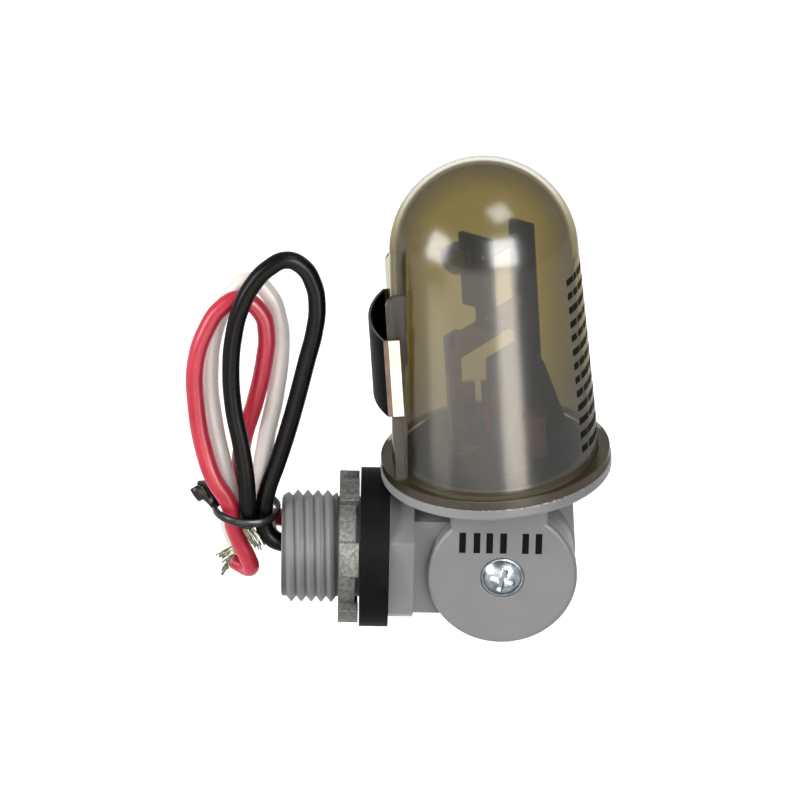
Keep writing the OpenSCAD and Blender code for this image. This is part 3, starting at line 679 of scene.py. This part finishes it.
def is_rail(point):
    """True on the two rails that guide the light slide."""
    side, r, height = head_place(point)
    on_left = side < 0 and abs(point.y) / MM > RAIL_Y
    return on_left and height > WALL_Z + NEAR and r > wall_radius(height) + NEAR


def is_lip(point):
    """True on the ring round the cover's foot."""
    _, r, height = head_place(point)
    return height < WALL_Z + NEAR and r > DOME_R - WALL / 2


print("cover from", round(LIP_Z, 2), "to", round(CROWN_Z + CROWN_R, 2), "mm above the pivot")

# %% [markdown]
# The smoke is browner above and greyer near the foot, where the grey is a painted reflection of the pale
# surroundings. One group gives a tint by height, from three colours, so that the wall and the pale edge of
# the round top can each have their own.

# %% Smoke group
WHITE = (1, 1, 1, 1)
TINT_FROM, TINT_TO = CROWN_Z + 3, CROWN_Z + 11
# Heights over which the greyer foot tint, a painted reflection on the outer cover, gives way to the wall's
# tint.
FOOT_FROM, FOOT_TO = WALL_Z + 4, WALL_Z + 22


def build_smoke_group():
    """Tint of the cover, from the height along the head's axis."""
    group = bpy.data.node_groups.new("smoke_by_height", "ShaderNodeTree")
    for name in ("Foot Tint", "Low Tint", "High Tint"):
        socket(group, name, "NodeSocketColor", "INPUT", WHITE)
    socket(group, "Tint", "NodeSocketColor", "OUTPUT")
    made, link = group.nodes.new, group.links.new
    inside, outside = made("NodeGroupInput"), made("NodeGroupOutput")
    place, height = made("ShaderNodeTexCoord"), made("ShaderNodeVectorMath")
    height.operation = "DOT_PRODUCT"
    height.inputs[1].default_value = HEAD_UP
    link(place.outputs["Object"], height.inputs[0])
    zero = PIVOT.dot(HEAD_UP)
    tint = inside.outputs["Foot Tint"]
    for start, end, name in ((FOOT_FROM, FOOT_TO, "Low Tint"), (TINT_FROM, TINT_TO, "High Tint")):
        share, blend = map_range(group, zero + start * MM, zero + end * MM), colour_mix(group)
        link(height.outputs["Value"], share.inputs["Value"])
        link(share.outputs["Result"], blend.inputs["Factor"])
        link(tint, blend.inputs["A"])
        link(inside.outputs[name], blend.inputs["B"])
        tint = blend.outputs["Result"]
    link(tint, outside.inputs["Tint"])
    return group


smoke_by_height = build_smoke_group()
print("group:", smoke_by_height.name)

# %% [markdown]
# The wall is deeper where it is seen at a slant, so it is darker there. Along the edge of the round top
# the eye looks through the wall alone, and a pale crescent shows. Both go by slant, with a Layer Weight
# node in the material. Glass stops lamp light in a ray tracer, so rays that look for lamps pass
# straight through, tinted.

# %% Cover plastic maker
COVER_IOR = 1.05
COVER_ROUGH = 0.05
COAT_IOR = 1.8
SMOKE_LAMP = screen_colour(190, 182, 160)
SLANT_TINT = screen_colour(128, 122, 104)
SLANT_FROM, SLANT_TO = 0.22, 0.85
COAT_FROM, COAT_TO = 0.5, 0.85
RIM_FROM, RIM_TO = 0.55, 0.6


def slant(tree, start, end, low, high):
    """A value that goes from low to high as the surface turns away from the eye."""
    facing, share = tree.nodes.new("ShaderNodeLayerWeight"), map_range(tree, start, end)
    share.inputs["To Min"].default_value = low
    share.inputs["To Max"].default_value = high
    tree.links.new(facing.outputs["Facing"], share.inputs["Value"])
    return share.outputs["Result"]


def smoke_tint(tree, foot, low, high):
    """The tint by height, as a node's output."""
    smoke = tree.nodes.new("ShaderNodeGroup")
    smoke.node_tree = smoke_by_height
    for key, value in {"Foot Tint": foot, "Low Tint": low, "High Tint": high}.items():
        smoke.inputs[key].default_value = value
    return smoke.outputs["Tint"]


def blended(tree, kind, factor, first, second):
    """Two colours blended by a factor. The second is an output or a plain colour."""
    mix = colour_mix(tree)
    mix.blend_type = kind
    tree.links.new(factor, mix.inputs["Factor"])
    tree.links.new(first, mix.inputs["A"])
    if isinstance(second, tuple):
        mix.inputs["B"].default_value = second
    else:
        tree.links.new(second, mix.inputs["B"])
    return mix.outputs["Result"]


def cover_plastic(name, tints, rim=None, coat=0.0, coat_rough=0.22, clear=1.0):
    """Clear or hazy plastic, tinted on its faces, with a smooth coat that mirrors the lamps."""
    material = bpy.data.materials.new(name)
    material.use_nodes = True
    tree = material.node_tree
    shader = tree.nodes["Principled BSDF"]
    for key, value in {"Roughness": COVER_ROUGH, "IOR": COVER_IOR, "Transmission Weight": clear,
                       "Coat Roughness": coat_rough, "Coat IOR": COAT_IOR}.items():
        shader.inputs[key].default_value = value
    deeper = slant(tree, SLANT_FROM, SLANT_TO, 0, 1)
    colour = blended(tree, "MULTIPLY", deeper, smoke_tint(tree, *tints), SLANT_TINT)
    if rim:
        pale = smoke_tint(tree, *tints[:2], rim)
        colour = blended(tree, "MIX", slant(tree, RIM_FROM, RIM_TO, 0, 1), colour, pale)
    tree.links.new(colour, shader.inputs["Base Color"])
    if coat:
        tree.links.new(slant(tree, COAT_FROM, COAT_TO, coat, 0), shader.inputs["Coat Weight"])
    open_way = tree.nodes.new("ShaderNodeBsdfTransparent")
    open_way.inputs["Color"].default_value = SMOKE_LAMP
    path = tree.nodes.new("ShaderNodeLightPath")
    choice = tree.nodes.new("ShaderNodeMixShader")
    tree.links.new(path.outputs["Is Shadow Ray"], choice.inputs["Fac"])
    tree.links.new(shader.outputs["BSDF"], choice.inputs[1])
    tree.links.new(open_way.outputs["BSDF"], choice.inputs[2])
    tree.links.new(choice.outputs["Shader"], tree.nodes["Material Output"].inputs["Surface"])
    return material


# %% [markdown]
# The tint by height lies on the outer face only, so that light takes it once on its way through a wall.
# The rails and the lip are thinner or thicker than the wall, so they have tints of their own,
# and the front rail is hazy, as thick moulded plastic is.

# %% Cover plastics
SMOKE_TINT = screen_colour(104, 90, 36)
# Greyer smoke near the foot: a painted reflection of the pale surroundings.
FOOT_TINT_PAINTED_REFLECTION = screen_colour(84, 77, 60)
RAIL_TINT = screen_colour(158, 154, 148)
BACK_RAIL_TINT = screen_colour(140, 136, 112)
LIP_TINT = screen_colour(176, 169, 150)
CRESCENT = screen_colour(214, 214, 206)
outer_smoke = cover_plastic("outer_smoke", (FOOT_TINT_PAINTED_REFLECTION, SMOKE_TINT, SMOKE_TINT), rim=CRESCENT, coat=0.45)
inner_smoke = cover_plastic("inner_smoke", (WHITE, WHITE, WHITE))
front_rail = cover_plastic("front_rail", (RAIL_TINT, RAIL_TINT, RAIL_TINT), clear=0.8)
back_rail = cover_plastic("back_rail", (BACK_RAIL_TINT, BACK_RAIL_TINT, BACK_RAIL_TINT), coat=0.2)
clear_rail = cover_plastic("clear_rail", (WHITE, WHITE, WHITE), coat=0.2)
lip_smoke = cover_plastic("lip_smoke", (LIP_TINT, LIP_TINT, LIP_TINT), coat=0.3, coat_rough=0.3)
COVER_PLASTICS = [outer_smoke, inner_smoke, front_rail, back_rail, clear_rail, lip_smoke]
print("cover plastics:", [material.name for material in COVER_PLASTICS])

# %% [markdown]
# The cover's mesh is copied and each of its faces gets one of the six plastics. The lip is lifted off
# the flange by a hair, because two faces in one place flicker between their colours.

# %% Smoky cover
LIP_LIFT = 0.05
LIP_FOOT = 0.01
FACES_FRONT = -0.3
cover = copy_of("dome", "smoky_cover")
for vertex in cover.data.vertices:
    if head_place(vertex.co)[2] < LIP_Z + LIP_FOOT:
        vertex.co += HEAD_UP * LIP_LIFT * MM
dress(cover, *COVER_PLASTICS)


def cover_face(polygon):
    """Which of the six plastics a face of the cover has."""
    if all(is_inside(cover.data.vertices[v].co) for v in polygon.vertices):
        return 1
    if is_rail(polygon.center):
        if polygon.center.y < 0:
            return 2
        return 4 if polygon.normal.y < FACES_FRONT else 3
    return 5 if is_lip(polygon.center) else 0


kinds = [cover_face(p) for p in cover.data.polygons]
cover.data.polygons.foreach_set("material_index", kinds)
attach(cover, "head")
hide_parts("dome")
print("faces of each cover plastic:", [kinds.count(k) for k in range(len(COVER_PLASTICS))])

# %% [markdown]
# The cover and the front cheek carry plain dark bars, printed in rows on the one and in one row on the other.
# An image could show them, but thin patches of mesh just over the surface stay sharp from close by.

# %% Printed bars
INK_GAP = 0.04
COVER_ROWS = 13
ROW_TOP, ROW_STEP, ROW_TALL = CROWN_Z - 2.6, 2.72, 1.25
ROW_TURN, ROW_SWEEP = -33, 50
BAR_SWEEP = (4, 12)
BAR_SPACE = (1.2, 2.2)
CHEEK_BARS = [-8.0, -5.4, -3.1, -0.6, 3.4, 5.8]
BAR_LOW, BAR_TALL, BAR_WIDE = 4.95, 4.1, 1.2
CHEEK_Y = min(v.co.y for v in nodes["base"].data.vertices if head_place(v.co)[2] < BAR_LOW) / MM


def head_point(radius, turn, height):
    """The point at a radius, a turn from the head's side towards its back, and a height."""
    flat = HEAD_SIDE * math.cos(turn) + HEAD_BACK * math.sin(turn)
    return PIVOT / MM + flat * radius + HEAD_UP * height


def cover_patch(low, high, start, end, steps=6):
    """A curved patch over the cover's wall, between two heights and two turns in degrees."""
    points, faces = [], []
    for i in range(steps + 1):
        turn = math.radians(start + (end - start) * i / steps)
        for height in (low, high):
            points.append(head_point(wall_radius(height) + INK_GAP, turn, height))
    for i in range(steps):
        a = 2 * i
        faces.append((a, a + 2, a + 3, a + 1))
    return points, faces


def cheek_patch(side):
    """An upright bar on the front cheek."""
    corners = [(side, BAR_LOW), (side + BAR_WIDE, BAR_LOW), (side + BAR_WIDE, BAR_LOW + BAR_TALL),
               (side, BAR_LOW + BAR_TALL)]
    points = [PIVOT / MM + Vector((x, CHEEK_Y - INK_GAP, z)) for x, z in corners]
    return points, [(0, 1, 2, 3)]


patches = [cheek_patch(side) for side in CHEEK_BARS]
for row in range(COVER_ROWS):
    top = ROW_TOP - ROW_STEP * row
    turn = ROW_TURN
    while turn < ROW_TURN + ROW_SWEEP:
        wide = draw.uniform(*BAR_SWEEP)
        patches.append(cover_patch(top - ROW_TALL, top, turn, min(turn + wide, ROW_TURN + ROW_SWEEP)))
        turn += wide + draw.uniform(*BAR_SPACE)
bars = mesh_piece("printed_bars", *merged(patches))
dress(bars, print_ink)
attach(bars, "head")
print("bars:", len(patches))

# %% [markdown]
# Where the cover is welded to the flange, a little pale plastic is squeezed out of the seam at the front.
# Short thin beads of uneven length along the seam show it. A bump map would not break the outline.

# %% Seam flash
seam_plastic = finish("seam_plastic", (176, 172, 160), (150, 146, 134), rough=(0.35, 0.5), drift=900,
                      grain=2500, bump=0.5, depth=0.02)
FLASH_R = 20.95
FLASH_FROM, FLASH_TO, FLASH_THICK_FROM = -128.0, -42, -88
FLASH_THICK, FLASH_THIN = 1.3, 0.7
BEAD_SWEEP = (0.8, 4.2)
BEAD_THICK = (0.05, 0.16)
BEAD_SPACE = (0.2, 2.4)
BEAD_RISE = (-0.03, 0.1)
BEAD_STEPS, BEAD_SIDES = 4, 6
beads = []
turn = FLASH_FROM
while turn < FLASH_TO:
    sweep = draw.uniform(*BEAD_SWEEP)
    thick = draw.uniform(*BEAD_THICK) * (FLASH_THICK if turn > FLASH_THICK_FROM else FLASH_THIN)
    arc = []
    for i in range(BEAD_STEPS + 1):
        height = LIP_Z + draw.uniform(*BEAD_RISE)
        arc.append(head_point(FLASH_R, math.radians(turn + sweep * i / BEAD_STEPS), height))
    beads.append(tube(arc, thick, BEAD_SIDES))
    turn += sweep + draw.uniform(*BEAD_SPACE)
flash = mesh_piece("seam_flash", *merged(beads))
dress(flash, seam_plastic)
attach(flash, "head")
print("beads:", len(beads))

# %% [markdown]
# The light slide is thin sheet, black on its bowed front, bright on its folded sides and dull on cut edges.
# Where it is folded a narrow brown strip shows, so the copy is cut along the fold to give that strip faces.
# The faces are told apart by the way they point and where they lie, in the head's own directions.

# %% Light slide
slide_black = finish("slide_black", (10, 10, 12), (7, 7, 8), rough=(0.3, 0.4), drift=90,
                     grain=1500, bump=0.3, depth=0.01, shine=0.004)
slide_bright = finish("slide_bright", (200, 188, 170), (184, 171, 152), rough=(0.4, 0.5), drift=260,
                      grain=2600, bump=0.5, depth=0.01, metal=0.6)
slide_fold = finish("slide_fold", (104, 82, 68), (70, 56, 48), rough=(0.35, 0.5), drift=300,
                    grain=2600, bump=0.4, depth=0.01, metal=0.4)
FOLD_WIDE = 0.9
FACES_SIDE, FACES_END = 0.9, 0.7
slide = copy_of("light_slide", "slide_sheet")
dress(slide, slide_black, slide_bright, slide_fold, dark_steel)


def side_of(point):
    return head_place(point)[0]


wings = [p for p in slide.data.polygons if abs(p.normal.y) > FACES_SIDE]
fold_side = min(side_of(slide.data.vertices[v].co) for p in wings for v in p.vertices) + FOLD_WIDE
cut = bmesh.new()
cut.from_mesh(slide.data)
bmesh.ops.bisect_plane(cut, geom=cut.verts[:] + cut.edges[:] + cut.faces[:], plane_no=HEAD_SIDE,
                       plane_co=PIVOT + HEAD_SIDE * fold_side * MM)
cut.to_mesh(slide.data)
cut.free()


def slide_face(polygon):
    """Which of the slide's four finishes a face has."""
    if abs(polygon.normal.y) > FACES_SIDE:
        return 2 if side_of(polygon.center) < fold_side else 1
    return 3 if abs(polygon.normal.dot(HEAD_UP)) > FACES_END else 0


kinds = [slide_face(p) for p in slide.data.polygons]
slide.data.polygons.foreach_set("material_index", kinds)
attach(slide, "slide")
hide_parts("light_slide")
print("slide faces black, bright, on the fold and on the edges:", [kinds.count(k) for k in range(4)])

# %% [markdown]
# The stage is a pale floor and soft light from large lamps, as in a product picture. On a wall box the part
# stands out from the wall, so the floor lies lower than the cover reaches when the head is turned over.
# Rays that carry light meet plain pale paper. Rays that look at the floor, or are reflected or bent
# towards it, see it lifted to white, and more so far off, where the lamps fall short and a horizon
# would show.

# %% Floor paper
FLOOR_GREY = (0.86, 0.86, 0.86, 1)
FLOOR_ROUGH = 0.9
FLOOR_SHINE = 0.1
FLOOR_LIFT, FLOOR_FAR_LIFT = 0.55, 1.0
FLOOR_NEAR, FLOOR_FAR = 200, 800


def add_seen_factor(tree):
    """1 for rays from the camera, a reflection or a bend, and 0 for rays that carry light."""
    path = tree.nodes.new("ShaderNodeLightPath")
    first, second = tree.nodes.new("ShaderNodeMath"), tree.nodes.new("ShaderNodeMath")
    for node in (first, second):
        node.operation = "MAXIMUM"
    tree.links.new(path.outputs["Is Camera Ray"], first.inputs[0])
    tree.links.new(path.outputs["Is Glossy Ray"], first.inputs[1])
    tree.links.new(first.outputs[0], second.inputs[0])
    tree.links.new(path.outputs["Is Transmission Ray"], second.inputs[1])
    return second.outputs[0]


def floor_paper():
    """Pale paper, with a glow that only rays that look at it can see."""
    paper = bpy.data.materials.new("floor_paper")
    paper.use_nodes = True
    tree = paper.node_tree
    shader = tree.nodes["Principled BSDF"]
    shader.inputs["Base Color"].default_value = FLOOR_GREY
    shader.inputs["Roughness"].default_value = FLOOR_ROUGH
    shader.inputs["Specular IOR Level"].default_value = FLOOR_SHINE
    shader.inputs["Emission Color"].default_value = WHITE
    place, away = tree.nodes.new("ShaderNodeTexCoord"), tree.nodes.new("ShaderNodeVectorMath")
    away.operation = "LENGTH"
    tree.links.new(place.outputs["Object"], away.inputs[0])
    far_lift = map_range(tree, FLOOR_NEAR * MM, FLOOR_FAR * MM)
    far_lift.inputs["To Min"].default_value = FLOOR_LIFT
    far_lift.inputs["To Max"].default_value = FLOOR_FAR_LIFT
    tree.links.new(away.outputs["Value"], far_lift.inputs["Value"])
    lift = tree.nodes.new("ShaderNodeMath")
    lift.operation = "MULTIPLY"
    tree.links.new(far_lift.outputs["Result"], lift.inputs[1])
    tree.links.new(add_seen_factor(tree), lift.inputs[0])
    tree.links.new(lift.outputs[0], shader.inputs["Emission Strength"])
    return paper


# %% Floor
FLOOR_GAP = 0.2
FLOOR_SIZE = 3000
reach = max(math.hypot(v.co.x - PIVOT.x, v.co.z - PIVOT.z) for v in nodes["dome"].data.vertices)
floor_z = (PIVOT.z - reach) / MM - FLOOR_GAP
half = FLOOR_SIZE / 2
corners = [(-half, -half), (half, -half), (half, half), (-half, half)]
floor = mesh_piece("floor", [mm(x, y, floor_z) for x, y in corners], [(0, 1, 2, 3)])
dress(floor, floor_paper())
print("floor at", round(floor_z, 2), "mm")

# %% [markdown]
# The background is white in the same way, for rays that look at it or are reflected or bent.
# A world that is white for all rays would flood the object, so rays that carry light meet a weak one.

# %% World
AMBIENT = 0.17
world = bpy.data.worlds.new("studio")
bpy.context.scene.world = world
world.use_nodes = True
sky = world.node_tree
light_side = sky.nodes["Background"]
light_side.inputs["Color"].default_value = WHITE
light_side.inputs["Strength"].default_value = AMBIENT
seen_side = sky.nodes.new("ShaderNodeBackground")
seen_side.inputs["Color"].default_value = WHITE
seen_side.inputs["Strength"].default_value = 1
mix = sky.nodes.new("ShaderNodeMixShader")
sky.links.new(add_seen_factor(sky), mix.inputs["Fac"])
sky.links.new(light_side.outputs[0], mix.inputs[1])
sky.links.new(seen_side.outputs[0], mix.inputs[2])
sky.links.new(mix.outputs[0], sky.nodes["World Output"].inputs["Surface"])
print("ambient light:", AMBIENT)

# %% [markdown]
# The lamps follow the bright shapes that the cover mirrors: a square window high on the right with a tall
# narrow one below it, one on the left with a faint one below, a small one overhead and a faint warm glow
# across the front. These only show in reflections. Four other lamps give the soft light itself. The key
# stands well to the left, so one side of each thread is lit and the hexagon shades the arm, and a fill
# in front keeps the leads bright.

# %% Lamps
LIGHT_CENTRE = mm(20, 0, 40)
PLAIN_LIGHT = (1, 1, 1)
WARM_LIGHT = (1, 0.92, 0.8)


def lamp(name, place, aim, width, height, watts, shine=False, colour=PLAIN_LIGHT):
    """A soft rectangular lamp. A shining one only shows in reflections."""
    data = bpy.data.lights.new(name, "AREA")
    data.shape = "RECTANGLE"
    data.size = width * MM
    data.size_y = height * MM
    data.energy = watts
    data.color = colour
    made = bpy.data.objects.new(name, data)
    bpy.context.scene.collection.objects.link(made)
    facing = (place - aim).to_track_quat("Z", "Y").to_matrix().to_4x4()
    made.matrix_world = Matrix.Translation(place) @ facing
    made.visible_camera = False
    made.visible_glossy = shine
    made.visible_transmission = False
    made.visible_diffuse = not shine


def around(azimuth, elevation, distance):
    """A place round the object: azimuth 0 is in front, and 90 is to the right."""
    a, e = math.radians(azimuth), math.radians(elevation)
    way = Vector((math.sin(a) * math.cos(e), -math.cos(a) * math.cos(e), math.sin(e)))
    return LIGHT_CENTRE + way * distance * MM


lamp("key", around(-65, 30, 900), LIGHT_CENTRE, 360, 360, 4.8)
lamp("front_fill", around(10, 33, 900), LIGHT_CENTRE, 360, 360, 3.1)
lamp("overhead", around(10, 80, 800), LIGHT_CENTRE, 700, 700, 1.7)
lamp("back_fill", around(165, 30, 900), LIGHT_CENTRE, 600, 600, 2.5)
lamp("window_square", around(24, 20, 700), LIGHT_CENTRE, 380, 400, 12, shine=True)
lamp("window_left", around(-62, 15, 700), LIGHT_CENTRE, 320, 360, 6, shine=True)
lamp("window_top", around(40, 66, 700), LIGHT_CENTRE, 260, 240, 2.3, shine=True)
lamp("streak_right", mm(57.8, -91, 26), mm(23, 0, 26), 38, 72, 0.115, shine=True, colour=WARM_LIGHT)
lamp("streak_left", mm(-29, -38.6, 17), mm(23, 0, 17), 27, 39, 0.011, shine=True, colour=WARM_LIGHT)
lamp("front_glow", mm(-3, -83.5, 26), mm(23, 0, 26), 86, 72, 0.043, shine=True, colour=WARM_LIGHT)

# %% [markdown]
# The picture is shown as it is lit, with the plain Standard view.

# %% Finish
bpy.context.scene.view_settings.view_transform = "Standard"
